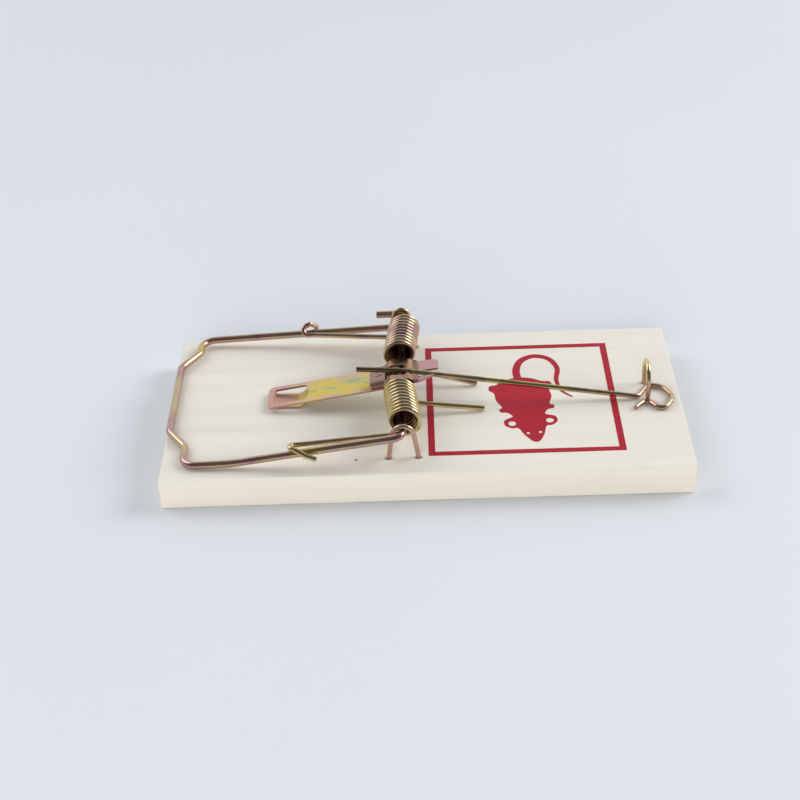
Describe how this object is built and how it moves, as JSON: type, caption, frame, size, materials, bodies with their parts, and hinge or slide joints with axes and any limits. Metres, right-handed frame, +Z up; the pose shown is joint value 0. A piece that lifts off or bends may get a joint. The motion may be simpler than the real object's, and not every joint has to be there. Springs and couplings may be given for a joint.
{
  "type": "snap mouse trap",
  "caption": "Snap mouse trap: wooden board, sprung wire kill bar on stapled axle, sheet metal bait pedal with saddle catch, and a wire holding bar.",
  "frame": {"origin": "centre of the board's underside", "axes": "+X along the board from the kill bar's front to the holding bar's staple, +Y across the board, +Z up"},
  "size_m": [0.098, 0.0474, 0.0162],
  "materials": {
    "board_wood": "pale sanded softwood with fine straight grain and a red printed frame",
    "plated_wire": "steel wire with yellow passivated zinc, faintly iridescent",
    "spring_wire": "spring steel wire with yellow passivated zinc",
    "pedal_sheet": "thin steel sheet, yellow and pink passivated zinc",
    "saddle_sheet": "thin steel sheet, dark pink passivated zinc"
  },
  "bodies": {
    "base": {"base_board": "board_wood", "near_staple": "plated_wire", "far_staple": "plated_wire", "pivot_staple": "plated_wire", "near_spring": "spring_wire", "far_spring": "spring_wire"},
    "kill_bar": {"kill_bar": "plated_wire"},
    "pedal": {"bait_pedal": "pedal_sheet", "catch_saddle": "saddle_sheet", "saddle_rivet": "saddle_sheet"},
    "holding_bar": {"holding_bar": "plated_wire"}
  },
  "joints": [
    {"name": "kill_bar_swing", "type": "hinge", "parent": "base", "child": "kill_bar", "pos_m": [-0.0042, 0, 0.012], "axis": [0, 1, 0], "range_deg": [0, 176], "stiffness_Nm_per_rad": 0.02, "springref_deg": -57.3, "deforming": ["near_spring", "far_spring"]},
    {"name": "pedal_tilt", "type": "hinge", "parent": "base", "child": "pedal", "pos_m": [-0.0042, 0, 0.012], "axis": [0, 1, 0], "range_deg": [0, 10]},
    {"name": "holding_bar_lift", "type": "hinge", "parent": "base", "child": "holding_bar", "pos_m": [0.0476, 0, 0.00682], "axis": [0, 1, 0], "range_deg": [0, 34]}
  ]
}
